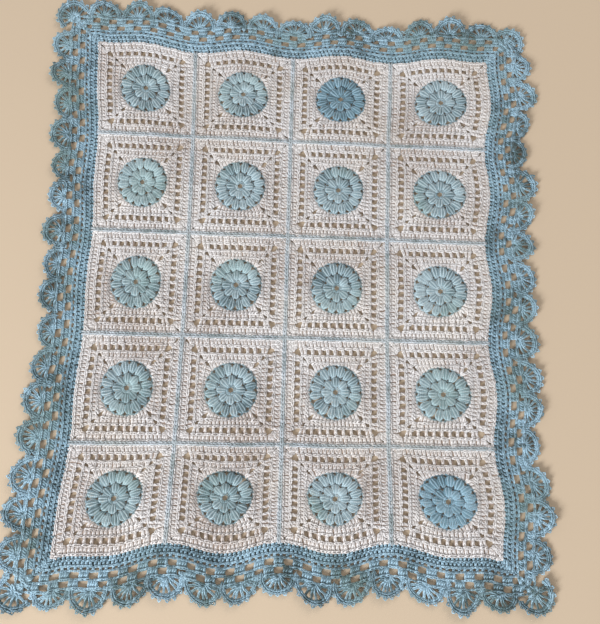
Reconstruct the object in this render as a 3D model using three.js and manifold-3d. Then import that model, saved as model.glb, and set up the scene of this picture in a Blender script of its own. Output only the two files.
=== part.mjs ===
// A crocheted throw blanket, spread out flat: four columns and five rows of square motifs, each a
// cream square around a puffed blue mandala, joined by raised seams and edged with three border zones.
// The blanket folds in half along its centre seam. Millimetres, +Z up, underside on z = 0, with the
// origin on the centre seam halfway along the blanket.
import * as THREE from 'three';
import { mergeVertices } from 'three/addons/utils/BufferGeometryUtils.js';
import Module from 'manifold-3d';

// Motifs
const columns = 4;
const rows = 5;
const squareSide = 135;
const squareThickness = 4;
const seamWidth = 5;
const seamHeight = 5;
const mandalaRadius = 36;
const mandalaHoleRadius = 2.6;
const mandalaRimHeight = 5;
const mandalaCrownHeight = 8.5;

// Border zones, from the motifs outward
const bandWidth = 15.5;
const bandThickness = 4;
const meshWidth = 24.5;
const meshThickness = 3.5;
const shellDepth = 29;
const shellDip = 7;
const shellThickness = 3.5;
const shellsAcross = 13;
const shellsAlong = 16;
const ruffleHeight = 5;
const ruffleLength = 91;
const ruffleSlant = 1.3;

// Clearance between pieces that lie side by side
const stitchGap = 0.3;

// How the cloth lies: small shifts of a flat point, in the plane
const edgeReach = 170;
const waistPull = 11;
const leftPull = 6;
const leftPullReach = 0.35;
const rightBulge = 8;
const leftBulge = 3;
const topPull = 12;
const topBulge = 9;
const bottomPull = 22;
const bottomBulge = 14;
const skew = 5;

// Worked out from the sizes above
const pitch = squareSide + seamWidth;
const halfWidth = (columns * pitch) / 2;
const halfLength = (rows * pitch) / 2;
const edgeX = halfWidth - seamWidth / 2;
const edgeY = halfLength - seamWidth / 2;
const meshStart = bandWidth;
const shellStart = bandWidth + meshWidth;
const borderWidth = shellStart + shellDepth;
const seamStep = pitch / 8;
const shellPitchAcross = (2 * (edgeX + shellStart)) / (shellsAcross + 1);
const shellPitchAlong = (2 * (edgeY + shellStart)) / (shellsAlong + 1);
const cornerShellReach = 0.9;
const mandalaSides = 16;

const creamYarn = { color: 0xd3cac0, roughness: 0.95, metalness: 0 };
const duckEggYarn = { color: 0x93a9ae, roughness: 0.95, metalness: 0 };
const deepBlueYarn = { color: 0x7594a4, roughness: 0.95, metalness: 0 };
const seamYarn = { color: 0x9db2c0, roughness: 0.95, metalness: 0 };
const borderYarn = { color: 0x728d9c, roughness: 0.95, metalness: 0 };

const wasm = await Module();
wasm.setup();

const clamp = THREE.MathUtils.clamp;

// 1 at an edge, easing to 0 one reach away from it
function nearness(distance) {
  const t = clamp(1 - distance / edgeReach, 0, 1);
  return t * t * (3 - 2 * t);
}

// Where a point of the flat pattern lies once the blanket is spread out
function drape(x, y) {
  const across = clamp(x / halfWidth, -1, 1);
  const along = clamp(y / halfLength, -1, 1);
  const nearLeft = nearness((1 + across) * halfWidth);
  const nearRight = nearness((1 - across) * halfWidth);
  const nearBottom = nearness((1 + along) * halfLength);
  const nearTop = nearness((1 - along) * halfLength);
  const bulgeAcross = Math.sin((Math.PI * across * columns) / 2) ** 2;
  const bulgeAlong = Math.sin((Math.PI * (along + 1) * rows) / 2) ** 2;
  const middleAcross = 1 - across ** 4;
  const leftward = Math.exp(-(((across + 1) / leftPullReach) ** 2)) * (1 - along ** 4);
  const shiftX =
    -waistPull * across * (1 - along ** 2) +
    leftPull * leftward +
    (rightBulge * nearRight - leftBulge * nearLeft) * bulgeAlong;
  const shiftY =
    nearBottom * (bottomPull * middleAcross - bottomBulge * bulgeAcross * (1 - across ** 2 / 2)) -
    nearTop * (topPull * middleAcross - topBulge * bulgeAcross) -
    skew * across * along;
  return [x + shiftX, y + shiftY];
}

// How far the loose edging is lifted off the floor at a flat point
function lift(x, y) {
  const outside = Math.max(Math.abs(x) - edgeX, Math.abs(y) - edgeY);
  const loose = clamp((outside - meshStart) / (borderWidth - meshStart), 0, 1);
  const wave = Math.sin((Math.PI * (x + ruffleSlant * y)) / ruffleLength) ** 2;
  return ruffleHeight * loose ** 2 * wave;
}

// Moves every vertex of a flat shape to where it lies
function drapeGeometry(geometry) {
  const position = geometry.getAttribute('position');
  for (let i = 0; i < position.count; i += 1) {
    const x = position.getX(i);
    const y = position.getY(i);
    const [drapedX, drapedY] = drape(x, y);
    position.setXYZ(i, drapedX, drapedY, position.getZ(i) + lift(x, y));
  }
  return geometry;
}

// The two ends and every multiple of the step between them
function stations(from, to, step) {
  const points = [from];
  const first = Math.floor(from / step + 1e-6) + 1;
  for (let k = first; k * step < to - 1e-6; k += 1) {
    points.push(k * step);
  }
  points.push(to);
  return points;
}

// A strip of cloth as a closed solid: pairs of flat points across it, one pair at each station
function stripGeometry(pairs, thickness) {
  const vertices = [];
  const faces = [];
  pairs.forEach(([inner, outer]) => {
    vertices.push(...inner, 0, ...outer, 0, ...outer, thickness, ...inner, thickness);
  });
  for (let i = 0; i < pairs.length - 1; i += 1) {
    for (let side = 0; side < 4; side += 1) {
      const a = 4 * i + side;
      const b = 4 * i + ((side + 1) % 4);
      faces.push(a, a + 4, b, b, a + 4, b + 4);
    }
  }
  const last = 4 * (pairs.length - 1);
  faces.push(0, 1, 2, 0, 2, 3);
  faces.push(last, last + 2, last + 1, last, last + 3, last + 2);
  const geometry = new THREE.BufferGeometry();
  geometry.setAttribute('position', new THREE.Float32BufferAttribute(vertices, 3));
  geometry.setIndex(faces);
  return drapeGeometry(geometry);
}

// Turns the faces of a strip that runs the other way round so that they point outward
function outward(geometry) {
  const position = geometry.getAttribute('position');
  const index = geometry.getIndex();
  const [a, b, c] = [new THREE.Vector3(), new THREE.Vector3(), new THREE.Vector3()];
  let volume = 0;
  for (let i = 0; i < index.count; i += 3) {
    a.fromBufferAttribute(position, index.getX(i));
    b.fromBufferAttribute(position, index.getX(i + 1));
    c.fromBufferAttribute(position, index.getX(i + 2));
    volume += a.dot(b.cross(c));
  }
  if (volume < 0) {
    index.array.reverse();
  }
  return geometry;
}

function rectangleStrip(lowX, highX, lowY, highY, thickness, step) {
  const runsAcross = highX - lowX > highY - lowY;
  const pairs = runsAcross
    ? stations(lowX, highX, step).map((x) => [[x, lowY], [x, highY]])
    : stations(lowY, highY, step).map((y) => [[lowX, y], [highX, y]]);
  return outward(stripGeometry(pairs, thickness));
}

function toManifold(geometry) {
  const bare = mergeVertices(geometry, 1e-4);
  const vertProperties = new Float32Array(bare.getAttribute('position').array);
  const triVerts = new Uint32Array(bare.getIndex().array);
  return new wasm.Manifold(new wasm.Mesh({ numProp: 3, vertProperties, triVerts }));
}

function joinStrips(geometries) {
  const mesh = geometries.map(toManifold).reduce((joined, piece) => joined.add(piece)).getMesh();
  const geometry = new THREE.BufferGeometry();
  geometry.setAttribute('position', new THREE.BufferAttribute(mesh.vertProperties, 3));
  geometry.setIndex(new THREE.BufferAttribute(mesh.triVerts, 1));
  return geometry;
}

// A cream square with a round opening that its mandala fills
function squareGroundGeometry(centreX, centreY) {
  const half = squareSide / 2;
  const side = stations(-half, half, seamStep);
  const outline = [
    ...side.slice(0, -1).map((t) => [t, -half]),
    ...side.slice(0, -1).map((t) => [half, t]),
    ...side.slice(0, -1).map((t) => [-t, half]),
    ...side.slice(0, -1).map((t) => [-half, -t]),
  ];
  const shape = new THREE.Shape(outline.map(([x, y]) => new THREE.Vector2(centreX + x, centreY + y)));
  const opening = new THREE.Path();
  opening.absarc(centreX, centreY, mandalaRadius + stitchGap, 0, 2 * Math.PI, true);
  shape.holes.push(opening);
  const options = { depth: squareThickness, bevelEnabled: false, curveSegments: mandalaSides / 2 };
  return drapeGeometry(new THREE.ExtrudeGeometry(shape, options));
}

// A low cone of petals with a small hole in its middle
function mandalaGeometry(centreX, centreY) {
  const profile = [
    new THREE.Vector2(mandalaHoleRadius, 0),
    new THREE.Vector2(mandalaRadius, 0),
    new THREE.Vector2(mandalaRadius, mandalaRimHeight),
    new THREE.Vector2(mandalaHoleRadius, mandalaCrownHeight),
    new THREE.Vector2(mandalaHoleRadius, 0),
  ];
  const geometry = new THREE.LatheGeometry(profile, mandalaSides);
  geometry.rotateX(Math.PI / 2);
  geometry.translate(centreX, centreY, 0);
  return drapeGeometry(geometry);
}

// The raised seams of one half. The right half carries the centre seam.
function seamGeometry(direction) {
  const half = seamWidth / 2 - stitchGap;
  const isRight = direction > 0;
  const strips = [];
  for (let column = isRight ? 0 : 1; column < columns / 2; column += 1) {
    const x = direction * column * pitch;
    strips.push(rectangleStrip(x - half, x + half, -edgeY, edgeY, seamHeight, seamStep));
  }
  const innerEnd = isRight ? 0 : seamWidth / 2;
  const lowX = isRight ? innerEnd : -edgeX;
  const highX = isRight ? edgeX : -innerEnd;
  for (let row = 1; row < rows; row += 1) {
    const y = halfLength - row * pitch;
    strips.push(rectangleStrip(lowX, highX, y - half, y + half, seamHeight, seamStep));
  }
  return joinStrips(strips);
}

// A plain border run of one zone, along the top or bottom, from the fold line to the corner
function endRunGeometry(direction, end, start, width, thickness) {
  const innerY = end * (edgeY + start + stitchGap);
  const outerY = end * (edgeY + start + width);
  const nearX = direction * (stitchGap / 2);
  const farX = direction * (edgeX + start + width);
  return rectangleStrip(
    Math.min(nearX, farX), Math.max(nearX, farX),
    Math.min(innerY, outerY), Math.max(innerY, outerY), thickness, seamStep);
}

// A plain border run of one zone, down one side, between the two end runs
function sideRunGeometry(direction, start, width, thickness) {
  const innerX = direction * (edgeX + start + stitchGap);
  const outerX = direction * (edgeX + start + width);
  const end = edgeY + start;
  return rectangleStrip(Math.min(innerX, outerX), Math.max(innerX, outerX), -end, end, thickness, seamStep);
}

// Depth of the scalloped edge beside a shell centred on zero
function scallopDepth(distance, shellPitch) {
  return shellDepth - shellDip * (1 - Math.abs(Math.cos((Math.PI * distance) / shellPitch)));
}

// A scalloped strip has a pair at each station and one midway. Midway, its inner edge is kept on the
// straight line between its neighbours, as the edge of the mesh beside it is.
function scallopedStrip(places, pairAt) {
  const doubled = places.flatMap((place, i) => (i ? [(places[i - 1] + place) / 2, place] : [place]));
  const geometry = stripGeometry(doubled.map(pairAt), shellThickness);
  const position = geometry.getAttribute('position');
  const [before, after] = [new THREE.Vector3(), new THREE.Vector3()];
  for (let i = 1; i < doubled.length; i += 2) {
    for (const corner of [4 * i, 4 * i + 3]) {
      before.fromBufferAttribute(position, corner - 4);
      after.fromBufferAttribute(position, corner + 4);
      before.lerp(after, 0.5);
      position.setXYZ(corner, before.x, before.y, before.z);
    }
  }
  return outward(geometry);
}

// The shell edging along the top or bottom, which also rounds the corner
function endShellsGeometry(direction, end) {
  const innerY = edgeY + shellStart + stitchGap;
  const cornerX = edgeX + shellStart;
  const reach = cornerX + shellDepth * cornerShellReach;
  return scallopedStrip(stations(stitchGap / 2, reach, seamStep), (x) => {
    const past = Math.max(x - cornerX, 0) / shellDepth;
    const depth = past > 0 ? shellDepth * Math.sqrt(1 - past ** 2) : scallopDepth(x, shellPitchAcross);
    return [
      [direction * x, end * innerY],
      [direction * x, end * (edgeY + shellStart + depth)],
    ];
  });
}

// The shell edging down one side
function sideShellsGeometry(direction) {
  const innerX = edgeX + shellStart + stitchGap;
  const end = edgeY + shellStart;
  const offset = shellsAlong % 2 === 0 ? shellPitchAlong / 2 : 0;
  return scallopedStrip(stations(-end, end, seamStep), (y) => {
    const depth = scallopDepth(y + offset, shellPitchAlong);
    return [
      [direction * innerX, y],
      [direction * (edgeX + shellStart + depth), y],
    ];
  });
}

const blanket = new THREE.Group();

function addPiece(name, geometry, yarn) {
  const mesh = new THREE.Mesh(geometry, new THREE.MeshStandardMaterial(yarn));
  mesh.name = name;
  blanket.add(mesh);
}

function addSquare(row, column) {
  const centreX = (column - (columns + 1) / 2) * pitch;
  const centreY = ((rows + 1) / 2 - row) * pitch;
  const deepBlue = (row === 1 && column === 3) || (row === 5 && column === 4);
  const name = `square_r${row}c${column}`;
  addPiece(`${name}_ground`, squareGroundGeometry(centreX, centreY), creamYarn);
  addPiece(`${name}_mandala`, mandalaGeometry(centreX, centreY), deepBlue ? deepBlueYarn : duckEggYarn);
}

// Every border zone has one run along each end and one down the side of each half
function addBorder(side, direction) {
  const ends = { top: 1, bottom: -1 };
  Object.entries(ends).forEach(([endName, end]) => {
    const name = `${endName}_${side}`;
    addPiece(`${name}_band`, endRunGeometry(direction, end, 0, bandWidth, bandThickness), borderYarn);
    addPiece(`${name}_mesh`, endRunGeometry(direction, end, meshStart, meshWidth, meshThickness), borderYarn);
    addPiece(`${name}_shells`, endShellsGeometry(direction, end), borderYarn);
  });
  addPiece(`${side}_band`, sideRunGeometry(direction, 0, bandWidth, bandThickness), borderYarn);
  addPiece(`${side}_mesh`, sideRunGeometry(direction, meshStart, meshWidth, meshThickness), borderYarn);
  addPiece(`${side}_shells`, sideShellsGeometry(direction), borderYarn);
}

for (let row = 1; row <= rows; row += 1) {
  for (let column = 1; column <= columns; column += 1) {
    addSquare(row, column);
  }
}
addPiece('seams_left', seamGeometry(-1), seamYarn);
addPiece('seams_right', seamGeometry(1), seamYarn);
addBorder('left', -1);
addBorder('right', 1);

export default blanket;
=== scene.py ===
import math
import random

import bpy
import numpy as np
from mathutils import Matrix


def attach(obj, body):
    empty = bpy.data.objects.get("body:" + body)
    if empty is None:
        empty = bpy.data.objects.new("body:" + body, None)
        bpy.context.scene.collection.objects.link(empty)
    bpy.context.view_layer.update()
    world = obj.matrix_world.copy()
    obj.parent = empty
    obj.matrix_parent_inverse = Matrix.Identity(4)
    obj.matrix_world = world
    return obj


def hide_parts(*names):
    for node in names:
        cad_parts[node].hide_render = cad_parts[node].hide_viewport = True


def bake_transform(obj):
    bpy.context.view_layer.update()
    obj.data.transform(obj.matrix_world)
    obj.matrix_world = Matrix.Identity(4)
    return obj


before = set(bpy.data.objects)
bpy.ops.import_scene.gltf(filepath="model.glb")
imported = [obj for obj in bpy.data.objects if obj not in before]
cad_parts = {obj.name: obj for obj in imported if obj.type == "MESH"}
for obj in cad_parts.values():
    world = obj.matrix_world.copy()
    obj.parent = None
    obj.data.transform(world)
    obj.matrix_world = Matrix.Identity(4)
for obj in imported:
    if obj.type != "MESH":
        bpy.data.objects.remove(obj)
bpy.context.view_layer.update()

print("frame: loaded", len(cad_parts), "nodes")

# The flat pattern, in millimetres, as the part has it
cloth = {
    "columns": 4, "rows": 5,
    "squareSide": 135.0, "seamWidth": 5.0,
    "bandWidth": 15.5, "meshWidth": 24.5, "shellDepth": 29.0,
    "shellsAcross": 13, "shellsAlong": 16,
    "foldReach": 13.5,  # how far from the centre seam the cloth bends when it is folded
    "foldMargin": 1.5,  # a stitch this near to the bend belongs to it
}
pitch = cloth["squareSide"] + cloth["seamWidth"]
halfWidth = cloth["columns"] * pitch / 2
halfLength = cloth["rows"] * pitch / 2
edgeX = halfWidth - cloth["seamWidth"] / 2
edgeY = halfLength - cloth["seamWidth"] / 2
meshStart = cloth["bandWidth"]
shellStart = cloth["bandWidth"] + cloth["meshWidth"]
borderWidth = shellStart + cloth["shellDepth"]
perMetre = 0.001
random.seed(7)

# How the cloth lies, in millimetres; leftPullReach and ruffleSlant are shares
lie = {
    "reach": 170.0, "waistPull": 11.0, "leftPull": 6.0, "leftPullReach": 0.35,
    "rightBulge": 8.0, "leftBulge": 3.0, "topPull": 12.0, "topBulge": 9.0,
    "bottomPull": 22.0, "bottomBulge": 14.0, "skew": 5.0,
    "ruffleHeight": 6.0, "ruffleLength": 91.0, "ruffleSlant": 1.3, "floorGap": 0.05,
}


def nearness(distance):
    t = np.clip(1 - distance / lie["reach"], 0, 1)
    return t * t * (3 - 2 * t)


def drape(x, y):  # where a flat point lies once the blanket is spread out
    across = np.clip(x / halfWidth, -1, 1)
    along = np.clip(y / halfLength, -1, 1)
    nearLeft, nearRight = nearness((1 + across) * halfWidth), nearness((1 - across) * halfWidth)
    nearBottom, nearTop = nearness((1 + along) * halfLength), nearness((1 - along) * halfLength)
    bulgeAcross = np.sin(math.pi * across * cloth["columns"] / 2) ** 2
    bulgeAlong = np.sin(math.pi * (along + 1) * cloth["rows"] / 2) ** 2
    middleAcross = 1 - across ** 4
    leftward = np.exp(-((across + 1) / lie["leftPullReach"]) ** 2) * (1 - along ** 4)
    shiftX = (lie["leftPull"] * leftward - lie["waistPull"] * across * (1 - along ** 2)
              + (lie["rightBulge"] * nearRight - lie["leftBulge"] * nearLeft) * bulgeAlong)
    pullUp = lie["bottomPull"] * middleAcross - lie["bottomBulge"] * bulgeAcross * (1 - across ** 2 / 2)
    pullDown = lie["topPull"] * middleAcross - lie["topBulge"] * bulgeAcross
    shiftY = nearBottom * pullUp - nearTop * pullDown - lie["skew"] * across * along
    return x + shiftX, y + shiftY


def lift(x, y):  # how far the loose edging stands off the floor
    outside = np.maximum(np.abs(x) - edgeX, np.abs(y) - edgeY)
    loose = np.clip((outside - meshStart) / (borderWidth - meshStart), 0, 1)
    wave = np.sin(math.pi * (x + lie["ruffleSlant"] * y) / lie["ruffleLength"]) ** 2
    return lie["ruffleHeight"] * loose ** 2 * wave


def drapeMesh(mesh):  # from flat millimetres to draped metres
    flat = np.empty(len(mesh.vertices) * 3)
    mesh.vertices.foreach_get("co", flat)
    flat = flat.reshape(-1, 3)
    x, y = drape(flat[:, 0], flat[:, 1])
    z = np.maximum(flat[:, 2], lie["floorGap"]) + lift(flat[:, 0], flat[:, 1])
    mesh.vertices.foreach_set("co", (np.stack([x, y, z], 1) * perMetre).ravel())
    mesh.update()


# Camera, floor and light
camera = {"place": (-0.006, -0.262, 0.983), "turn": (13.03, -1.79, 1.42), "lens": 43.85, "sensor": 36}


def makeCamera():
    data = bpy.data.cameras.new("viewCamera")
    data.lens = camera["lens"]
    data.sensor_width = camera["sensor"]
    view = bpy.data.objects.new("viewCamera", data)
    view.location = camera["place"]
    view.rotation_euler = [math.radians(a) for a in camera["turn"]]
    bpy.context.scene.collection.objects.link(view)
    bpy.context.scene.camera = view


studio = {
    "floorSize": 14.0, "floorColour": (0.52, 0.40, 0.28), "floorRoughness": 0.8,
    "skyColour": (0.92, 0.95, 1.0), "skyStrength": 0.52, "viewTransform": "Standard",
    # name, place, aim, side, watts, colour
    "lamps": [
        ("windowLight", (-2.1, -2.6, 1.8), (0, 0, 0), 1.3, 205, (0.92, 0.96, 1.0)),
        ("roomLight", (1.6, 2.0, 2.4), (0, 0, 0), 1.9, 36, (1.0, 0.94, 0.86)),
    ],
}


def plainMaterial(name, colour, roughness):
    material = bpy.data.materials.new(name)
    material.use_nodes = True
    shader = material.node_tree.nodes["Principled BSDF"]
    shader.inputs["Base Color"].default_value = (*colour, 1)
    shader.inputs["Roughness"].default_value = roughness
    return material


def makeStudio():
    half = studio["floorSize"] / 2
    mesh = bpy.data.meshes.new("floor")
    corners = [(-half, -half, 0), (half, -half, 0), (half, half, 0), (-half, half, 0)]
    mesh.from_pydata(corners, [], [(0, 1, 2, 3)])
    floor = bpy.data.objects.new("floor", mesh)
    mesh.materials.append(plainMaterial("floorPaint", studio["floorColour"], studio["floorRoughness"]))
    bpy.context.scene.collection.objects.link(floor)
    for name, place, aim, side, watts, colour in studio["lamps"]:
        lamp = bpy.data.lights.new(name, "AREA")
        lamp.size = side
        lamp.energy = watts
        lamp.color = colour
        holder = bpy.data.objects.new(name, lamp)
        holder.location = place
        toward = np.array(aim, float) - np.array(place, float)
        holder.rotation_euler = (math.atan2(math.hypot(toward[0], toward[1]), -toward[2]), 0,
                                 math.atan2(toward[1], toward[0]) - math.pi / 2)
        bpy.context.scene.collection.objects.link(holder)
    world = bpy.data.worlds.new("sky")
    world.use_nodes = True
    world.node_tree.nodes["Background"].inputs["Color"].default_value = (*studio["skyColour"], 1)
    world.node_tree.nodes["Background"].inputs["Strength"].default_value = studio["skyStrength"]
    bpy.context.scene.world = world
    bpy.context.scene.view_settings.view_transform = studio["viewTransform"]


makeCamera()
makeStudio()
print("studio: camera, floor and lamps ready")

# The yarns: how a strand is twisted, how it is dyed, and the shade painted into the grooves between its plies


def newGroup(name, inputs, outputs):
    group = bpy.data.node_groups.new(name, "ShaderNodeTree")
    for label, kind, value in inputs:
        socket = group.interface.new_socket(label, in_out="INPUT", socket_type="NodeSocket" + kind)
        socket.default_value = value
    for label, kind in outputs:
        group.interface.new_socket(label, in_out="OUTPUT", socket_type="NodeSocket" + kind)
    return group, group.nodes.new("NodeGroupInput"), group.nodes.new("NodeGroupOutput")


def mathNode(tree, operation, first, second=None, third=None):
    node = tree.nodes.new("ShaderNodeMath")
    node.operation = operation
    for k, value in enumerate((first, second, third)):
        if value is None:
            continue
        if isinstance(value, (int, float)):
            node.inputs[k].default_value = value
        else:
            tree.links.new(value, node.inputs[k])
    return node.outputs[0]


def mixColour(tree, factor, first, second):
    node = tree.nodes.new("ShaderNodeMix")
    node.data_type = "RGBA"
    for socket, value in ((node.inputs[0], factor), (node.inputs[6], first), (node.inputs[7], second)):
        tree.links.new(value, socket)
    return node.outputs[2]


twist = {"turns": 0.45, "plies": 3.0, "fuzz": 0.5, "fibreScale": 2600, "fibreDetail": 2}


def makeTwistGroup():  # the plies that wind round a strand, read along its own UV map
    group, given, result = newGroup(
        "yarnTwist",
        [(label, "Float", twist[label.lower()]) for label in ("Turns", "Plies", "Fuzz")],
        [("Height", "Float"), ("Groove", "Float")])
    place = group.nodes.new("ShaderNodeUVMap")
    place.uv_map = "strand"
    parts = group.nodes.new("ShaderNodeSeparateXYZ")
    group.links.new(place.outputs[0], parts.inputs[0])
    around = mathNode(group, "MULTIPLY", parts.outputs[0], given.outputs["Plies"])
    winding = mathNode(group, "MULTIPLY_ADD", parts.outputs[1], given.outputs["Turns"], around)
    wave = mathNode(group, "SINE", mathNode(group, "MULTIPLY", winding, 2 * math.pi))
    ridge = mathNode(group, "MULTIPLY_ADD", wave, 0.5, 0.5)
    where = group.nodes.new("ShaderNodeTexCoord")
    fibre = group.nodes.new("ShaderNodeTexNoise")
    fibre.inputs["Scale"].default_value = twist["fibreScale"]
    fibre.inputs["Detail"].default_value = twist["fibreDetail"]
    group.links.new(where.outputs["Object"], fibre.inputs["Vector"])
    fuzz = mathNode(group, "MULTIPLY", fibre.outputs["Fac"], given.outputs["Fuzz"])
    group.links.new(mathNode(group, "ADD", ridge, fuzz), result.inputs["Height"])
    # the groove mask says where shade is painted between the plies
    group.links.new(mathNode(group, "SUBTRACT", 1.0, ridge), result.inputs["Groove"])
    return group


dyeing = {
    "driftDetail": 3, "driftContrast": 2.2, "paintedGrooveShade": 0.45,
    "patchScale": 13, "patchDetail": 1, "patchContrast": 5.0, "patchStart": 2.3,
}


# how the colour varies: the dye slowly along the cloth, from stitch to stitch, and in faded patches, with
# painted shade in the grooves between plies and painted light and shade from strand to strand
def makeDyeGroup():
    group, given, result = newGroup(
        "yarnDye",
        [("Light", "Color", (1, 1, 1, 1)), ("Middle", "Color", (0.5, 0.5, 0.5, 1)),
         ("Deep", "Color", (0.2, 0.2, 0.2, 1)), ("Drift Scale", "Float", 9.0),
         ("Stitch Change", "Float", 0.3), ("Strand Shade Change", "Float", 0.7), ("Groove", "Float", 0.0),
         ("Painted Groove Shade", "Float", dyeing["paintedGrooveShade"]),
         ("Patch", "Color", (0.2, 0.2, 0.2, 1)), ("Patch Amount", "Float", 0.0)],
        [("Color", "Color")])
    where = group.nodes.new("ShaderNodeTexCoord")
    drift = group.nodes.new("ShaderNodeTexNoise")
    drift.inputs["Detail"].default_value = dyeing["driftDetail"]
    group.links.new(where.outputs["Object"], drift.inputs["Vector"])
    group.links.new(given.outputs["Drift Scale"], drift.inputs["Scale"])

    def toneOf(label, amount):
        tone = group.nodes.new("ShaderNodeAttribute")
        tone.attribute_name = label
        away = mathNode(group, "SUBTRACT", tone.outputs["Fac"], 0.5)
        return mathNode(group, "MULTIPLY", away, given.outputs[amount])

    # the strand tone paints light and shade from strand to strand; the stitch tone is the dye's random change
    ofStitch, ofStrandShade = toneOf("stitchTone", "Stitch Change"), toneOf("strandShadeTone", "Strand Shade Change")
    change = mathNode(group, "ADD", ofStitch, ofStrandShade)
    away = mathNode(group, "SUBTRACT", drift.outputs["Fac"], 0.5)
    spread = mathNode(group, "MULTIPLY_ADD", away, dyeing["driftContrast"], 0.5)
    level = mathNode(group, "ADD", spread, change)
    fromDeep = mathNode(group, "MINIMUM", mathNode(group, "MULTIPLY", level, 2.0), 1.0)
    low = mixColour(group, fromDeep, given.outputs["Deep"], given.outputs["Middle"])
    toLight = mathNode(group, "MAXIMUM", mathNode(group, "MULTIPLY_ADD", level, 2.0, -1.0), 0.0)
    dyed = mixColour(group, mathNode(group, "MINIMUM", toLight, 1.0), low, given.outputs["Light"])
    # painted shade: the grooves between the plies are darkened toward the deep colour
    paintedShade = mathNode(group, "MULTIPLY", given.outputs["Groove"], given.outputs["Painted Groove Shade"])
    shaded = mixColour(group, paintedShade, dyed, given.outputs["Deep"])
    patches = group.nodes.new("ShaderNodeTexNoise")
    patches.inputs["Scale"].default_value = dyeing["patchScale"]
    patches.inputs["Detail"].default_value = dyeing["patchDetail"]
    group.links.new(where.outputs["Object"], patches.inputs["Vector"])
    contrast, start = dyeing["patchContrast"], dyeing["patchStart"]
    mask = mathNode(group, "MULTIPLY_ADD", patches.outputs["Fac"], contrast, -start)
    mask = mathNode(group, "MAXIMUM", mathNode(group, "MINIMUM", mask, 1.0), 0.0)
    faded = mathNode(group, "MULTIPLY", mask, given.outputs["Patch Amount"])
    group.links.new(mixColour(group, faded, shaded, given.outputs["Patch"]), result.inputs["Color"])
    return group


twistGroup = makeTwistGroup()
dyeGroup = makeDyeGroup()

# drift is how fine the slow change along the cloth is, and patch is the faded colour in places; deep is also
# the colour of the painted shade in the ply grooves, and the strand change sets how much light and shade is
# painted from strand to strand
yarns = {
    "creamYarn": {"light": (0.81, 0.79, 0.785), "middle": (0.69, 0.66, 0.65), "deep": (0.47, 0.39, 0.34),
                  "drift": 7.0, "stitchChange": 0.3, "strandShadeChange": 0.7,
                  "patch": (0.72, 0.62, 0.50), "patchAmount": 0.2},
    "duckEggYarn": {"light": (0.56, 0.67, 0.70), "middle": (0.31, 0.425, 0.475), "deep": (0.10, 0.16, 0.18),
                    "drift": 9.0, "stitchChange": 0.5, "strandShadeChange": 1.2,
                    "patch": (0.30, 0.43, 0.38), "patchAmount": 0.35},
    "deepBlueYarn": {"light": (0.37, 0.54, 0.64), "middle": (0.17, 0.31, 0.385), "deep": (0.06, 0.12, 0.15),
                     "drift": 9.0, "stitchChange": 0.5, "strandShadeChange": 1.2,
                     "patch": (0.18, 0.32, 0.38), "patchAmount": 0.2},
    "seamYarn": {"light": (0.57, 0.60, 0.64), "middle": (0.39, 0.43, 0.455), "deep": (0.20, 0.24, 0.24),
                 "drift": 15.0, "stitchChange": 0.7, "strandShadeChange": 0.7,
                 "patch": (0.43, 0.44, 0.41), "patchAmount": 0.5},
    # the band is the border's yarn painted lighter: painted light to make up for the shade of its dense
    # stitches
    "bandYarn": {"light": (0.48, 0.69, 0.82), "middle": (0.23, 0.37, 0.46), "deep": (0.065, 0.11, 0.125),
                 "drift": 17.0, "stitchChange": 0.6, "strandShadeChange": 1.0,
                 "patch": (0.17, 0.28, 0.29), "patchAmount": 0.45},
    "borderYarn": {"light": (0.42, 0.62, 0.75), "middle": (0.17, 0.28, 0.34), "deep": (0.035, 0.065, 0.06),
                   "drift": 17.0, "stitchChange": 0.7, "strandShadeChange": 1.0,
                   "patch": (0.15, 0.235, 0.22), "patchAmount": 0.7},
}
finish = {"roughness": 0.85, "sheen": 0.35, "sheenRoughness": 0.5, "bump": 0.5, "bumpDepth": 0.0006}


def makeYarn(name, suffix="", paintedShade=(1.0, 1.0, 1.0)):  # the shade given here is painted shade: it darkens the sheet under the stitches, which stands for the shadowed gaps between them
    yarn = yarns[name]
    material = bpy.data.materials.new(name + suffix)
    material.use_nodes = True
    tree = material.node_tree
    shader = tree.nodes["Principled BSDF"]
    shader.inputs["Roughness"].default_value = finish["roughness"]
    shader.inputs["Sheen Weight"].default_value = finish["sheen"]
    shader.inputs["Sheen Roughness"].default_value = finish["sheenRoughness"]
    plies = tree.nodes.new("ShaderNodeGroup")
    plies.node_tree = twistGroup
    dye = tree.nodes.new("ShaderNodeGroup")
    dye.node_tree = dyeGroup
    for label in ("Light", "Middle", "Deep", "Patch"):
        dye.inputs[label].default_value = (*(a * b for a, b in zip(paintedShade, yarn[label.lower()])), 1)
    dye.inputs["Drift Scale"].default_value = yarn["drift"]
    dye.inputs["Stitch Change"].default_value = yarn["stitchChange"]
    dye.inputs["Strand Shade Change"].default_value = yarn["strandShadeChange"]
    dye.inputs["Patch Amount"].default_value = yarn["patchAmount"]
    # the groove mask drives the painted shade in the dye group
    tree.links.new(plies.outputs["Groove"], dye.inputs["Groove"])
    tree.links.new(dye.outputs["Color"], shader.inputs["Base Color"])
    bump = tree.nodes.new("ShaderNodeBump")
    bump.inputs["Strength"].default_value = finish["bump"]
    bump.inputs["Distance"].default_value = finish["bumpDepth"]
    tree.links.new(plies.outputs["Height"], bump.inputs["Height"])
    tree.links.new(bump.outputs["Normal"], shader.inputs["Normal"])
    return material


materials = {name: makeYarn(name) for name in yarns}
print("materials:", len(materials), "yarns")

# One mesh for each kind of stitch, in millimetres, worked along +Y from its foot at the origin


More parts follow.
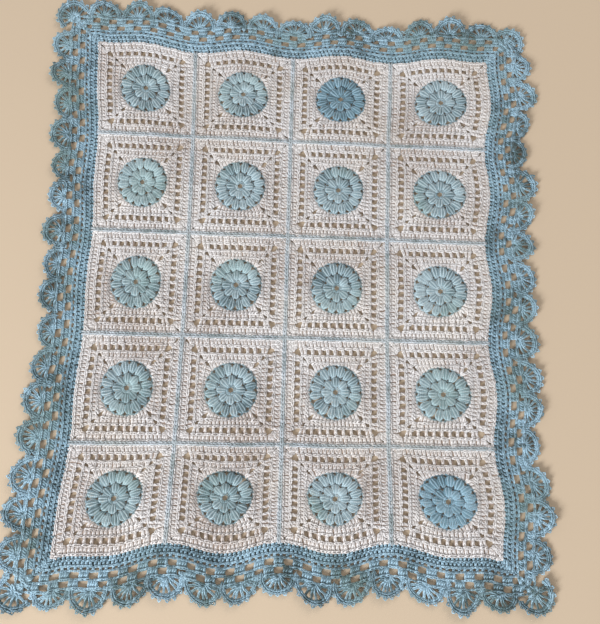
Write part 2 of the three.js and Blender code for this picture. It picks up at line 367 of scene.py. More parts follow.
def strandTube(points, radius, sides):  # a closed tube along a few points
    points = np.array(points, float)
    vertices, faces, around = [], [], []
    run = np.concatenate([[0], np.cumsum(np.linalg.norm(np.diff(points, axis=0), axis=1))])
    for k, point in enumerate(points):
        ahead = points[min(k + 1, len(points) - 1)] - points[max(k - 1, 0)]
        ahead /= np.linalg.norm(ahead)
        side = np.cross(ahead, (0, 0, 1))
        side /= np.linalg.norm(side)
        up = np.cross(side, ahead)
        for j in range(sides):
            a = 2 * math.pi * (j + 0.5) / sides
            vertices.append(point + radius * (math.cos(a) * side + math.sin(a) * up))
    for k in range(len(points) - 1):
        for j in range(sides):
            n = (j + 1) % sides
            faces.append((k * sides + j, k * sides + n, (k + 1) * sides + n, (k + 1) * sides + j))
            around.append([(j / sides, run[k]), ((j + 1) / sides, run[k]),
                           ((j + 1) / sides, run[k + 1]), (j / sides, run[k + 1])])
    last = (len(points) - 1) * sides
    faces.append(tuple(reversed(range(sides))))
    faces.append(tuple(last + j for j in range(sides)))
    around += [[(0, 0)] * sides, [(0, run[-1])] * sides]
    return vertices, faces, around


def stitchTemplate(name, strands):  # each strand is its points, radius, sides and tone; the tone paints light and shade on the strand
    vertices, faces, around, strandShades = [], [], [], []
    for points, radius, sides, tone in strands:
        v, f, uv = strandTube(points, radius, sides)
        faces += [tuple(len(vertices) + i for i in face) for face in f]
        vertices += v
        around += uv
        strandShades += [tone] * len(v)
    mesh = bpy.data.meshes.new(name)
    mesh.from_pydata(vertices, [], faces)
    layer = mesh.uv_layers.new(name="strand")
    layer.data.foreach_set("uv", np.array([c for face in around for c in face]).ravel())
    mesh.attributes.new("strandShadeTone", "FLOAT", "POINT").data.foreach_set("value", strandShades)
    mesh.shade_smooth()
    return bpy.data.objects.new(name, mesh)


def postStrands(length, rise):  # two legs with a strand wrapped over them
    leg = [(0.55, 0, rise - 0.3), (0.8, length * 0.33, rise + 0.2),
           (0.95, length * 0.68, rise + 0.2), (1.0, length, rise + 0.1)]
    other = [(-x, y, z + 0.2) for x, y, z in leg]
    wrap = [(-1.9, length * 0.2, rise + 0.2), (0, length * 0.42, rise + 1.3),
            (1.9, length * 0.64, rise + 0.3)]
    # the strand tones are painted light and shade: the wrap on top lightest, one leg darker than the other
    return [(leg, 1.0, 5, 0.65), (other, 1.0, 5, 0.3), (wrap, 0.85, 4, 0.95)]


def topLoops(length, rise):  # the braid along the head of a stitch
    front = [(3.1, length + 0.2, rise), (0.4, length - 1.1, rise + 0.9),
             (-2.6, length - 1.3, rise + 0.5)]
    back = [(3.1, length - 0.1, rise - 0.1), (0.4, length + 1.1, rise + 0.6),
            (-2.6, length + 1.3, rise + 0.2)]
    # painted light and shade: the front loop lighter than the back one
    return [(front, 1.0, 4, 0.85), (back, 0.95, 4, 0.5)]


def puffStrands(length):  # six strands drawn together at both ends
    strands = []
    # the tones alternate light and dark across the petal: painted light and shade on its ribs
    for s, tone in ((-1, 0.45), (-0.6, 1.0), (-0.2, 0.3), (0.2, 0.9), (0.6, 0.35), (1, 0.8)):
        edge = s ** 2
        strands.append(([(1.1 * s, 0, 2.0), (3.7 * s, length * 0.28, 3.3 - 0.4 * edge),
                         (5.0 * s, length * (0.68 - 0.06 * edge), 4.8 - 1.1 * edge),
                         (4.2 * s, length * (0.95 - 0.11 * edge), 4.3 - 0.9 * edge),
                         (1.5 * s, length * (1.03 - 0.04 * edge), 2.6)],
                        1.0, 4, tone))
    return strands


# how long each stitch is before it is stretched to its place; dc is a double crochet
nominal = {"dc": 10.0, "post": 10.0, "puff": 14.0, "chain": 5.2, "ridge": 5.0, "picot": 3.4}
templates = {
    "dc": stitchTemplate("dc", postStrands(nominal["dc"], 1.9) + topLoops(nominal["dc"], 2.6)),
    "post": stitchTemplate("post", postStrands(nominal["post"], 1.7)),
    "puff": stitchTemplate("puff", puffStrands(nominal["puff"])),
    # in chains and ridges the strand tones are painted light and shade: one strand lighter than the other,
    # the strand under a ridge darkest
    "chain": stitchTemplate("chain", [
        ([(0.3, -0.6, 2.4), (1.25, 2.4, 3.1), (0.3, 5.8, 2.6)], 1.05, 4, 0.65),
        ([(-0.3, -0.6, 2.2), (-1.25, 2.4, 2.9), (-0.3, 5.8, 2.4)], 1.05, 4, 0.45)]),
    "ridge": stitchTemplate("ridge", [
        ([(2.1, -1.0, 2.6), (1.9, 2.0, 4.0), (0.2, 5.4, 3.3)], 1.5, 5, 0.75),
        ([(-2.1, -1.0, 2.4), (-1.9, 2.0, 3.8), (-0.2, 5.4, 3.3)], 1.5, 5, 0.6),
        ([(-1.6, 1.5, 1.5), (0, 3.4, 1.3), (1.6, 5.3, 1.5)], 1.1, 4, 0.4)]),
    "picot": stitchTemplate("picot", [
        ([(-1.0, -0.4, 2.2), (-1.5, 1.8, 2.8), (0, 3.4, 2.6), (1.5, 1.8, 2.4), (1.0, -0.4, 2.0)],
         0.95, 4, 0.75)]),
}
kindNames = sorted(templates)
stitchKinds = bpy.data.collections.new("stitchKinds")
for kindName in kindNames:
    stitchKinds.objects.link(templates[kindName])
print("stitches:", ", ".join(f"{k} {len(t.data.polygons)} faces" for k, t in templates.items()))

# Geometry nodes put one stitch on every point of a layout
laying = {"sway": (0.06, 0.08, 0.08), "swell": (0.08, 0.04, 0.08)}  # how unevenly a stitch turns and fills


def makeStitchTree():
    tree = bpy.data.node_groups.new("layStitches", "GeometryNodeTree")
    for label, kind in (("Geometry", "Geometry"), ("Stitches", "Collection"), ("Yarn", "Material"),
                        ("Unevenness", "Float"), ("Seed", "Int")):
        tree.interface.new_socket(label, in_out="INPUT", socket_type="NodeSocket" + kind)
    tree.interface.new_socket("Geometry", in_out="OUTPUT", socket_type="NodeSocketGeometry")
    add, link = tree.nodes.new, tree.links.new
    given, result = add("NodeGroupInput"), add("NodeGroupOutput")

    def named(label, kind):
        node = add("GeometryNodeInputNamedAttribute")
        node.data_type = kind
        node.inputs["Name"].default_value = label
        return node.outputs["Attribute"]

    def chance(low, high, offset, kind="FLOAT"):  # offset keeps one random value apart from the next
        node = add("FunctionNodeRandomValue")
        node.data_type = kind
        first = [s for s in node.inputs if s.enabled and s.name == "Min"][0]
        second = [s for s in node.inputs if s.enabled and s.name == "Max"][0]
        first.default_value, second.default_value = low, high
        seed = add("ShaderNodeMath")
        seed.operation = "ADD"
        seed.inputs[1].default_value = offset
        link(given.outputs["Seed"], seed.inputs[0])
        link(seed.outputs[0], [s for s in node.inputs if s.name == "Seed"][0])
        return [s for s in node.outputs if s.enabled][0]

    def vectorMath(operation, first, second):
        node = add("ShaderNodeVectorMath")
        node.operation = operation
        link(first, node.inputs[0])
        link(second, node.inputs[3 if operation == "SCALE" else 1])
        return node.outputs[0]

    def uneven(most, offset):
        either = chance(tuple(-v for v in most), most, offset, "FLOAT_VECTOR")
        return vectorMath("SCALE", either, given.outputs["Unevenness"])

    sway = uneven(laying["sway"], 1)
    turn = add("ShaderNodeCombineXYZ")
    link(named("turn", "FLOAT"), turn.inputs["Z"])
    swell = uneven(laying["swell"], 2)
    size = named("size", "FLOAT_VECTOR")
    instances = add("GeometryNodeInstanceOnPoints")
    kinds = add("GeometryNodeCollectionInfo")
    kinds.inputs["Separate Children"].default_value = True
    kinds.inputs["Reset Children"].default_value = True
    link(given.outputs["Stitches"], kinds.inputs["Collection"])
    instances.inputs["Pick Instance"].default_value = True
    link(named("kind", "INT"), instances.inputs["Instance Index"])
    points = add("GeometryNodeMeshToPoints")
    link(given.outputs["Geometry"], points.inputs[0])
    link(points.outputs[0], instances.inputs["Points"])
    link(kinds.outputs[0], instances.inputs["Instance"])
    link(vectorMath("ADD", turn.outputs[0], sway), instances.inputs["Rotation"])
    link(vectorMath("ADD", size, vectorMath("MULTIPLY", size, swell)), instances.inputs["Scale"])
    store = add("GeometryNodeStoreNamedAttribute")
    store.data_type = "FLOAT"
    store.domain = "INSTANCE"
    store.inputs["Name"].default_value = "stitchTone"
    link(instances.outputs[0], store.inputs["Geometry"])
    link(chance(0.0, 1.0, 3), [s for s in store.inputs if s.enabled and s.name == "Value"][0])
    realize, setYarn = add("GeometryNodeRealizeInstances"), add("GeometryNodeSetMaterial")
    link(store.outputs[0], realize.inputs[0])
    link(realize.outputs[0], setYarn.inputs["Geometry"])
    link(given.outputs["Yarn"], setYarn.inputs["Material"])
    link(setYarn.outputs[0], result.inputs[0])
    return tree


stitchTree = makeStitchTree()


# a row is one stitch: its kind, x, y, z, turn, width, length and thickness
def layStitches(name, rows, yarn, seed, unevenness=1.0):
    table = np.array([r[1:] for r in rows], float)
    mesh = bpy.data.meshes.new(name + "Layout")
    mesh.from_pydata([tuple(r[:3]) for r in table], [], [])
    kinds = [kindNames.index(r[0]) for r in rows]
    mesh.attributes.new("kind", "INT", "POINT").data.foreach_set("value", kinds)
    mesh.attributes.new("turn", "FLOAT", "POINT").data.foreach_set("value", table[:, 3].copy())
    mesh.attributes.new("size", "FLOAT_VECTOR", "POINT").data.foreach_set("vector", table[:, 4:7].ravel())
    layout = bpy.data.objects.new(name + "Layout", mesh)
    bpy.context.scene.collection.objects.link(layout)
    modifier = layout.modifiers.new("layStitches", "NODES")
    modifier.node_group = stitchTree
    values = {"Stitches": stitchKinds, "Yarn": materials[yarn], "Unevenness": unevenness, "Seed": seed}
    for item in stitchTree.interface.items_tree:
        if item.in_out == "INPUT" and item.name in values:
            modifier[item.identifier] = values[item.name]
    evaluated = layout.evaluated_get(bpy.context.evaluated_depsgraph_get())
    result = bpy.data.meshes.new_from_object(evaluated)
    result.name = name
    bpy.data.objects.remove(layout)
    bpy.data.meshes.remove(mesh)
    return result


def stitch(kind, foot, head, width=1.0, thickness=1.0, rise=0.0):  # the row of a stitch from foot to head
    dx, dy = head[0] - foot[0], head[1] - foot[1]
    length = math.hypot(dx, dy) / nominal[kind]
    return (kind, foot[0], foot[1], rise, math.atan2(-dx, dy), width, length, thickness)


# What each piece replaces and what it rides on
pieces = {"left": [], "right": [], "fold": []}
mapMargin = 0.01


def addBakeMap(mesh):  # a plain top view, for the textures of the exported part
    flat = np.empty(len(mesh.vertices) * 3)
    mesh.vertices.foreach_get("co", flat)
    corner = np.empty(len(mesh.loops), dtype=np.int32)
    mesh.loops.foreach_get("vertex_index", corner)
    places = flat.reshape(-1, 3)[corner, :2]
    low, high = places.min(0), places.max(0)
    layer = mesh.uv_layers.new(name="OFBake")
    share = (places - low) / (high - low).max()
    layer.data.foreach_set("uv", (share * (1 - 2 * mapMargin) + mapMargin).ravel())


def addPiece(name, mesh, half, node=None):
    drapeMesh(mesh)
    addBakeMap(mesh)
    piece = bpy.data.objects.new(name, mesh)
    bpy.context.scene.collection.objects.link(piece)
    if half == "fold":
        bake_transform(piece)
    else:
        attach(piece, half + "_half")
    if node:
        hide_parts(node)
    pieces[half].append(piece)
    return piece


def sortRows(rows):  # a stitch near the centre seam goes to the strip that bends
    halves = {"left": [], "right": [], "fold": []}
    for row in rows:
        kind, x, turn, length = row[0], row[1], row[4], row[6]
        headX = x - math.sin(turn) * (nominal[kind] * length)
        near = min(abs(x), abs(headX)) < cloth["foldReach"] + cloth["foldMargin"] or x * headX < 0
        halves["fold" if near else "left" if x < 0 else "right"].append(row)
    return halves


def turned(x, y, side):  # a quarter turn counter-clockwise for each side
    for _ in range(side):
        x, y = -y, x
    return x, y


def wobble(amount):
    return random.uniform(-amount, amount)


def squareCentres():
    for r in range(1, cloth["rows"] + 1):
        for c in range(1, cloth["columns"] + 1):
            yield r, c, (c - (cloth["columns"] + 1) / 2) * pitch, ((cloth["rows"] + 1) / 2 - r) * pitch


# The squares, in millimetres from the middle of each
square = {
    "lead": 1.2,  # how far each stitch's head leans ahead of its foot
    "width": 1.12, "stray": 0.35, "headStray": 0.3, "cornerFeet": 1.6,
    # the first round fans out from the mandala's rim
    "fan": {"foot": 36.0, "head": 38.2, "count": 13, "step": 5.1, "degrees": 44.4, "drop": 0.8,
            "turnStray": 0.01, "width": 1.1},
    # foot, head, straight stitches, their step, and how far before the corner the corner ones end
    "rounds": [(38.2, 46.6, 13, 5.2, (10.8, 6.7)), (57.2, 67.5, 22, 5.1, (9.6, 4.7))],
    # the round of square holes, and where its slanted corner bars start and end
    "filet": {"foot": 46.6, "head": 57.2, "step": 10.4, "bars": 7, "stray": 0.4,
              "link": 6.0, "linkWidth": 1.1, "corner": ((40.8, 41.8), (44.8, 47.6))},
    # foot and head of each link at a corner, along and out from the corner itself
    "cornerLinks": (((4.2, 0.0), (-0.4, -0.2)), ((0.0, 0.3), (0.0, -4.4))),
}


# a straight row of double crochet, with stitches that fan out to both corners
def fanRow(side, foot, head, count, step, corners, halfFoot, halfHead, lead, **looks):
    rows = []
    for k in range(count):
        t = (k - (count - 1) / 2) * step + wobble(square["stray"])
        top = turned(-t - lead, head + wobble(square["headStray"]), side)
        rows.append(stitch("dc", turned(-t, foot, side), top, **looks))
    for end in (-1, 1):
        start = turned(-end * (halfFoot - square["cornerFeet"]), foot, side)
        for inset in corners:
            t = end * (halfHead - inset)
            top = turned(-t - lead / 2, head + wobble(square["headStray"]), side)
            rows.append(stitch("dc", start, top, **looks))
    return rows


def cornerChain(side, reach):  # two links round the corner that ends this side
    return [stitch("chain", *(turned(-reach + along, reach + out, side) for along, out in link))
            for link in square["cornerLinks"]]


def fanStitches(side):
    rows = []
    fan = square["fan"]
    for k in range(fan["count"]):
        m = k - (fan["count"] - 1) / 2
        a = math.radians(fan["degrees"] * 2 * m / (fan["count"] - 1)) + wobble(fan["turnStray"])
        foot = (-fan["foot"] * math.sin(a), fan["foot"] * math.cos(a) - fan["drop"])
        top = turned(-m * fan["step"] - square["lead"], fan["head"], side)
        rows.append(stitch("dc", turned(*foot, side), top, fan["width"]))
    return rows + cornerChain(side, fan["head"])


def filetStitches(side):
    rows = []
    filet, lead = square["filet"], square["lead"]
    bars, foot, head, link = filet["bars"], filet["foot"], filet["head"], filet["link"]
    for k in range(bars):
        t = (k - (bars - 1) / 2) * filet["step"] + wobble(filet["stray"])
        rows.append(stitch("dc", turned(-t, foot, side), turned(-t - lead, head, side)))
    for k in range(bars + 1):
        t = (k - bars / 2) * filet["step"] - link / 2
        start, end = turned(-t, head, side), turned(-t - link, head, side)
        rows.append(stitch("chain", start, end, filet["linkWidth"]))
    for end in (-1, 1):
        for low, high in filet["corner"]:
            start, top = turned(-end * low, foot, side), turned(-end * high - lead / 2, head, side)
            rows.append(stitch("dc", start, top))
    return rows + cornerChain(side, head)


def groundRows():
    rows = []
    for side in range(4):
        rows += fanStitches(side)
        for foot, head, count, step, corners in square["rounds"]:
            rows += fanRow(side, foot, head, count, step, corners, foot, head, square["lead"],
                           width=square["width"])
            rows += cornerChain(side, head)
        rows += filetStitches(side)
    return rows


# The mandalas
mandala = {
    # foot, head and number of petals, their width, then the rise, width and sink of the arcs between them
    "rings": [(6.0, 18.6, 8, 1.0, 0.3, 0.45, -1.0), (18.8, 33.8, 16, 1.04, 2.4, 0.62, -0.5)],
    "ringRise": 0.2, "arcStart": 0.2, "arcThickness": 0.9, "unevenness": 0.45,
    "turnStray": 0.03, "headStray": 0.02, "widthStray": 0.04, "thicknessStray": 0.1,
    "centre": 5.6, "centreLinks": 6, "centreWidth": 0.9,
    "deepSquares": ((1, 3), (5, 4)),  # row and column of the ones in the deeper blue
}


def ringPoint(radius, turn):
    return (-radius * math.sin(turn), radius * math.cos(turn))


def mandalaRows():
    rows = []
    for ring, (low, high, count, width, arcRise, arcWidth, arcSink) in enumerate(mandala["rings"]):
        step = 2 * math.pi / count
        start, crown = high + mandala["arcStart"], high + arcRise
        for k in range(count):
            a = (k + 0.5 * ring) * step + wobble(mandala["turnStray"])
            rows.append(stitch("puff", ringPoint(low, a), ringPoint(high, a + wobble(mandala["headStray"])),
                               width + wobble(mandala["widthStray"]), 1 + wobble(mandala["thicknessStray"]),
                               mandala["ringRise"] * ring))
            middle = ringPoint(crown, a + step / 2)
            for foot, head in ((ringPoint(start, a), middle), (middle, ringPoint(start, a + step))):
                rows.append(stitch("chain", foot, head, arcWidth, mandala["arcThickness"], arcSink))
    step = 2 * math.pi / mandala["centreLinks"]
    for k in range(mandala["centreLinks"]):
        foot, head = ringPoint(mandala["centre"], k * step), ringPoint(mandala["centre"], (k + 1) * step)
        rows.append(stitch("chain", foot, head, mandala["centreWidth"], mandala["arcThickness"]))
    return rows


def moved(rows, x, y):
    return [(kind, px + x, py + y, *rest) for kind, px, py, *rest in rows]


foldRows = {"creamYarn": [], "seamYarn": [], "bandYarn": [], "borderYarn": []}
for r, c, x, y in squareCentres():
    half = "left" if x < 0 else "right"
    halves = sortRows(moved(groundRows(), x, y))
    foldRows["creamYarn"] += halves["fold"]
    node = f"square_r{r}c{c}"
    mesh = layStitches(node + "_stitches", halves[half], "creamYarn", 10 * r + c)
    addPiece(node + "_stitches", mesh, half, node + "_ground")
    deep = (r, c) in mandala["deepSquares"]
    yarn, slot = ("deepBlueYarn", "deep_blue_yarn") if deep else ("duckEggYarn", "duck_egg_yarn")
    mesh = layStitches(node + "_petals", moved(mandalaRows(), x, y), yarn, 100 + 10 * r + c,
                       mandala["unevenness"])
    addPiece(node + "_petals", mesh, half, node + "_mandala")
print("squares:", cloth["columns"] * cloth["rows"], "grounds and as many mandalas")

# The seams, whose upright lines lie over the level ones; reach is how many steps long a link is
seam = {"step": 5.0, "reach": 1.1, "width": 0.85, "rise": 0.25}


def seamRows():
    rows = []
    step, reach = seam["step"], seam["reach"] * seam["step"]
    for line in range(1, cloth["rows"]):
        y = (cloth["rows"] / 2 - line) * pitch
        for k in range(round(2 * halfWidth / step)):
            x = -halfWidth + k * step
            rows.append(stitch("ridge", (x, y), (x + reach, y), seam["width"]))
    for line in range(1, cloth["columns"]):
        x = (line - cloth["columns"] / 2) * pitch
        for k in range(round(2 * halfLength / step)):
            y = halfLength - k * step
            rows.append(stitch("ridge", (x, y), (x, y - reach), seam["width"], rise=seam["rise"]))
    return rows


halves = sortRows(seamRows())
foldRows["seamYarn"] += halves["fold"]
for half, node in (("left", "seams_left"), ("right", "seams_right")):
    mesh = layStitches(node + "_stitches", halves[half], "seamYarn", 300)
    addPiece(node + "_stitches", mesh, half, node)
print("seams:", sum(len(v) for v in halves.values()), "stitches")


# The border is worked outwards, in millimetres from the edge of the outer squares
def sideSize(side):  # half the length along this side, and how far out it lies
    return (edgeX, edgeY) if side % 2 == 0 else (edgeY, edgeX)


def chainLine(side, start, end, out):  # links of chain along a side, from start to end
    count = max(1, round((end - start) / nominal["chain"]))
    step = (end - start) / count
    ends = [turned(-(start + k * step), out, side) for k in range(count + 1)]
    return [stitch("chain", foot, head, band["chainWidth"]) for foot, head in zip(ends, ends[1:])]


# The band: two rounds of double crochet, a ridge of chain, and ties that leave slits up to the mesh
band = {
    "split": 6.9, "ridge": 13.8, "ridgeGap": 0.3, "ridgeRise": 0.5, "chainWidth": 0.7,
    "step": 5.2, "lead": 0.6, "corners": (5.2, 1.2),
    "tieEnd": 19.2, "tieStep": 7.6, "tieStray": 0.8,
}


def bandRows(side):
    rows = []
    along, out = sideSize(side)
    for low, high in ((0.0, band["split"]), (band["split"], band["ridge"] - band["ridgeGap"])):
        count = int(2 * (along + low) / band["step"])
        rows += fanRow(side, out + low, out + high, count, band["step"], band["corners"],
                       along + low, along + high, band["lead"])
    ridge, reach = out + band["ridge"], along + band["ridge"]
    count = round(2 * reach / nominal["chain"])
    step = 2 * reach / count
    for k in range(count):
        t = -reach + k * step
        rows.append(stitch("chain", turned(-t, ridge, side), turned(-t - step, ridge, side),
                           band["chainWidth"], rise=band["ridgeRise"]))
    reach = along + band["tieEnd"]
    rows += chainLine(side, -reach, reach, out + band["tieEnd"])
    count = int(2 * reach / band["tieStep"])
    for k in range(count):
        t = (k - (count - 1) / 2) * band["tieStep"] + wobble(band["tieStray"])
        rows.append(stitch("post", turned(-t, ridge, side), turned(-t, out + band["tieEnd"], side)))
    return rows


# The mesh: two rows of groups of double crochet, the second row's groups over the first row's holes
openMesh = {
    "levels": ((19.6, 29.0), (29.4, 39.5)), "groupStep": 22.7, "cornerRoom": 13.0,
    "stitches": 4, "stitchStep": 3.0, "lead": 0.8, "stray": 0.4, "headStray": 0.3,
    "linkStart": 1.5, "linkEnd": 0.5,
    "cornerStitches": 5, "cornerDegrees": 14, "cornerReach": 14.0,
}


def meshRows(side):
    rows = []
    along, out = sideSize(side)
    span = along + band["tieEnd"] - openMesh["cornerRoom"]
    groups = 2 * int(span / openMesh["groupStep"]) + 1
    step = 2 * span / (groups - 1)
    stitches, stitchStep = openMesh["stitches"], openMesh["stitchStep"]
    width = (stitches - 1) * stitchStep
    for level, (low, high) in enumerate(openMesh["levels"]):
        count = groups + level
        reach = (count - 1) / 2 * step
        for k in range(count):
            t = -reach + k * step
            for m in range(stitches):
                at = t + (m - (stitches - 1) / 2) * stitchStep
                foot = turned(-at - wobble(openMesh["stray"]), out + low, side)
                head = turned(-at - openMesh["lead"], out + high + wobble(openMesh["headStray"]), side)
                rows.append(stitch("dc", foot, head))
            if k < count - 1:
                rows += chainLine(side, t + width / 2 + openMesh["linkStart"],
                                  t + step - width / 2 - openMesh["linkEnd"], out + high)
        corner = along + high
        rows += chainLine(side, reach + width / 2, corner, out + high)
        rows += chainLine(side, -corner, -reach - width / 2, out + high)
        x, y, length = -(along + low), out + low, openMesh["cornerReach"]
        middle = (openMesh["cornerStitches"] - 1) / 2
        for m in range(openMesh["cornerStitches"]):  # the group that turns the corner
            a = math.radians(-45 + openMesh["cornerDegrees"] * (m - middle))
            head = turned(x + length * math.sin(a), y + length * math.cos(a), side)
            rows.append(stitch("dc", turned(x, y, side), head))
    return rows


# The shells: posts that fan out from one point, a rim round them, and picots on the rim
shell = {
    # how many, degrees to each side, inner and outer radius, width
    "posts": (8, 84, 1.0, 20.5, 0.8), "rim": (19, 97, 20.0, 26.0, 1.15), "picots": (9, 92, 26.0, 30.2, 1.2),
    "shortPost": 11.5, "shortStray": 1.5, "shortWidth": 0.9,  # one stands between each two long posts
    "postStray": 0.05, "rimStray": 0.02, "rimLean": 0.1, "picotStray": 0.06, "edgeStray": 0.6,
    "centre": 0.5, "stray": 2.2, "turn": 0.2, "depth": (0.66, 1.04), "across": (0.76, 0.9),
    "cornerPull": (2.0, 2.0, 2.0, 9.0), "cornerDepth": 0.95, "cornerAcross": 0.84,
    "halfSpan": 20,  # the chain between two shells starts this far from the middle of each
}


def spreadAngle(k, count, degrees):  # the angle of one of count stitches, spread evenly to both sides
    return math.radians(-degrees + 2 * degrees * k / (count - 1))


def shellRows(x, y, turn, depth, across):  # one scallop that opens along +Y before it is turned
    rows = []

    def place(radius, a):
        px, py = across * radius * math.sin(a), (radius * math.cos(a) + shell["centre"]) * depth
        return (x + px * math.cos(turn) - py * math.sin(turn),
                y + px * math.sin(turn) + py * math.cos(turn))

    count, degrees, low, high, width = shell["posts"]
    for k in range(count):
        a = spreadAngle(k, count, degrees) + wobble(shell["postStray"])
        rows.append(stitch("post", place(low, a), place(high, a), width))
        if k < count - 1:
            a += math.radians(degrees / (count - 1))
            end = place(shell["shortPost"] + wobble(shell["shortStray"]), a)
            rows.append(stitch("post", place(low, a), end, shell["shortWidth"]))
    count, degrees, low, high, width = shell["rim"]
    for k in range(count):
        a = spreadAngle(k, count, degrees) + wobble(shell["rimStray"])
        head = place(high + wobble(shell["edgeStray"]), a + shell["rimLean"])
        rows.append(stitch("dc", place(low, a), head, width))
    count, degrees, low, high, width = shell["picots"]
    for k in range(count):
        a = spreadAngle(k, count, degrees)
        head = place(high + wobble(shell["edgeStray"]), a + wobble(shell["picotStray"]))
        rows.append(stitch("picot", place(low, a), head, width))
    return rows


def shellRun(side):
    rows = []
    along, out = sideSize(side)
    count = cloth["shellsAcross"] if side % 2 == 0 else cloth["shellsAlong"]
    step = 2 * (along + shellStart) / (count + 1)
    outward = side * math.pi / 2
    for k in range(count):
        t = (k - (count - 1) / 2) * step + wobble(shell["stray"])
        x, y = turned(-t, out + shellStart, side)
        turn = outward + wobble(shell["turn"])
        depth = random.uniform(*shell["depth"])
        rows += shellRows(x, y, turn, depth, random.uniform(*shell["across"]))
        rows += chainLine(side, t + shell["halfSpan"], t + step - shell["halfSpan"], out + shellStart)
    pull = shell["cornerPull"][side]
    x, y = turned(-(along + shellStart - pull), out + shellStart - pull, side)
    rows += shellRows(x, y, outward + math.pi / 4, shell["cornerDepth"], shell["cornerAcross"])
    return rows


# the band uses the lighter painted copy of the border yarn
makers = {"band": (bandRows, "bandYarn"), "mesh": (meshRows, "borderYarn"),
          "shells": (shellRun, "borderYarn")}
runNames = {(0, "left"): "top_left", (0, "right"): "top_right", (1, "left"): "left",
            (2, "left"): "bottom_left", (2, "right"): "bottom_right", (3, "right"): "right"}
for number, (part, (make, yarn)) in enumerate(makers.items()):
    for side in range(4):
        halves = sortRows(make(side))
        foldRows[yarn] += halves["fold"]
        for half in ("left", "right"):
            if not halves[half]:
                continue
            name = f"{runNames[side, half]}_{part}"
            mesh = layStitches(name + "_stitches", halves[half], yarn, 400 + 10 * number + side)
            addPiece(name + "_stitches", mesh, half, name)
print("border:", len(makers) * len(runNames), "runs")

# The stitches near the centre seam, which bend with the fold
for yarn, rows in foldRows.items():
    name = "centre_" + yarn.removesuffix("Yarn")
    addPiece(name, layStitches(name, rows, yarn, 500), "fold")
print("centre strip:", sum(len(v) for v in foldRows.values()), "stitches")

# The dark sheet under the stitches, with its real openings: painted shade for the shadowed gaps between the
# stitches, where the blanket itself has no cloth
core = {
    "low": 1.6, "high": 2.2,  # its underside and top
    # the edges of the filet holes are holeStep apart, and the corner holes start at cornerFoot and cornerHead
    "holeStep": 5.2, "holeEdges": 8, "cornerFoot": 42.5, "cornerHead": 50.0, "filet": (46.8, 57.0),
    # how far out each ring of cloth starts, and the ones under a braid, which are closed at the corners
    "rings": [35.5, 37.0, 38.4, 45.4, 46.8, 57.0, 58.4, 66.3, 70.0], "braids": (37.0, 45.4, 57.0, 66.3),
    "bandGap": 0.2, "joinGap": 0.01,
    # the shades are painted shade: the sheet is darkened to stand for the shadowed gaps seen between the
    # stitches
    "paintedShades": {"creamYarn": (0.60, 0.53, 0.47), "borderYarn": (0.36, 0.36, 0.36)},
}
holeEdges = [(k + 0.5) * core["holeStep"] for k in range(core["holeEdges"])]


def bothSides(values):
    return sorted({sign * v for v in values for sign in (-1, 1)})


def squareCells(cx, cy):  # quads of flat points, round by round
    low, high = core["filet"]
    foot = bothSides(holeEdges + [core["cornerFoot"], low])
    head = bothSides(holeEdges + [core["cornerHead"], high])
    last = len(foot) - 1

    def point(ring, k, side):
        size = core["rings"][ring]
        if ring == 0:  # the first ring is round, under the mandala's rim
            a = math.atan2(foot[k], low)
            return (size * math.sin(-a), size * math.cos(a))
        share = foot[k] / low if size <= low else head[k] / high
        return (-share * size, size)

    cells = []
    for side in range(4):
        for ring in range(len(core["rings"]) - 1):
            for k in range(last):
                inCorner = k in (0, last - 1) and core["rings"][ring] not in core["braids"]
                inHole = core["rings"][ring] == low and k % 2 == 0
                if inCorner or inHole:
                    continue
                corners = [point(ring, k, side), point(ring, k + 1, side), point(ring + 1, k + 1, side),
                           point(ring + 1, k, side)]
                cells.append(([(cx + q[0], cy + q[1]) for q in (turned(*p, side) for p in corners)], 0))
    return cells


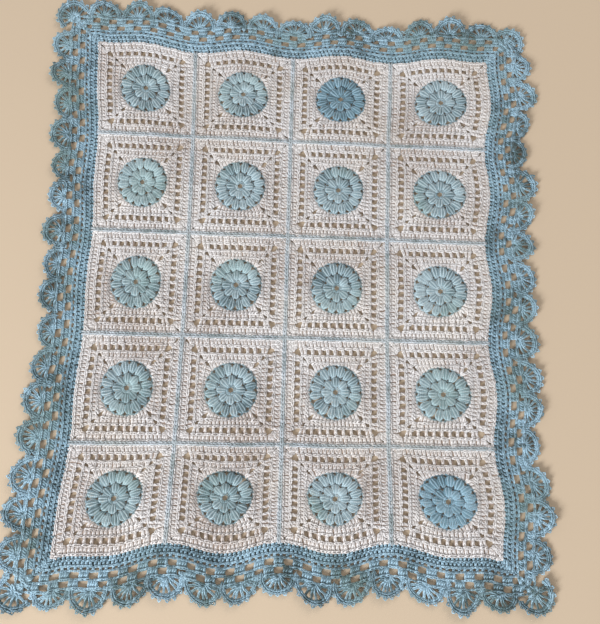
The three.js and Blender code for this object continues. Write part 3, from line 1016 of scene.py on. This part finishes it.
def bandCells():
    outermost, filetHead = core["rings"][-1], core["filet"][1]
    stations = bothSides([v * outermost / filetHead for v in holeEdges + [core["cornerHead"], filetHead]])
    cells = []
    for side in range(4):
        along, out = sideSize(side)
        count = cloth["columns"] if side % 2 == 0 else cloth["rows"]
        ts = sorted({round((k - (count - 1) / 2) * pitch + v, 4) for k in range(count) for v in stations})
        inner, outer = cloth["seamWidth"] / 2, band["ridge"] - core["bandGap"]
        grow = (along + outer) / (along + inner)
        for first, second in zip(ts, ts[1:]):
            corners = [(-first, out + inner), (-second, out + inner), (-second * grow, out + outer),
                       (-first * grow, out + outer)]
            cells.append(([turned(*p, side) for p in corners], 1))
    return cells


def cellArea(corners):
    return 0.5 * sum(a[0] * b[1] - b[0] * a[1] for a, b in zip(corners, corners[1:] + corners[:1]))


def cutShadeSheet(name, cells):  # a thin closed sheet from flat cells, each with the number of its yarn
    index, places, faces, yarnOf, edges = {}, [], [], [], {}

    def corner(x, y, top):
        key = (round(x, 2), round(y, 2), top)
        if key not in index:
            index[key] = len(places)
            places.append((x, y, core["high"] if top else core["low"]))
        return index[key]

    for corners, yarn in cells:
        if cellArea(corners) < 0:
            corners = corners[::-1]
        top = [corner(x, y, True) for x, y in corners]
        low = [corner(x, y, False) for x, y in corners]
        faces += [tuple(top), tuple(reversed(low))]
        yarnOf += [yarn, yarn]
        for k in range(4):
            n = (k + 1) % 4
            edges[(top[k], top[n])] = (low[k], low[n], yarn)
    for (first, second), (lowFirst, lowSecond, yarn) in edges.items():
        if (second, first) not in edges:
            faces.append((second, first, lowFirst, lowSecond))
            yarnOf.append(yarn)
    mesh = bpy.data.meshes.new(name)
    mesh.from_pydata(places, [], faces)
    for yarn in core["paintedShades"]:
        mesh.materials.append(paintedShadeMaterials[yarn])
    mesh.polygons.foreach_set("material_index", yarnOf)
    return mesh


# the sheet's materials: each yarn darkened by its painted shade
paintedShadeMaterials = {name: makeYarn(name, "Cloth", core["paintedShades"][name]) for name in core["paintedShades"]}
cells = {"left": [], "right": [], "fold": []}
allCells = bandCells()
for _, _, x, y in squareCentres():
    allCells += squareCells(x, y)
for corners, yarn in allCells:
    across = [p[0] for p in corners]
    if min(across) > cloth["foldReach"] - core["joinGap"]:
        cells["right"].append((corners, yarn))
    elif max(across) < core["joinGap"] - cloth["foldReach"]:
        cells["left"].append((corners, yarn))
    else:
        cells["fold"].append((corners, yarn))
for half, chosen in cells.items():
    # the painted shade sheets, one for each half and one for the strip at the centre seam
    sheet = addPiece("cloth_" + half, cutShadeSheet("cloth_" + half, chosen), half)

for template in templates.values():
    bpy.data.objects.remove(template)
bpy.data.collections.remove(stitchKinds)
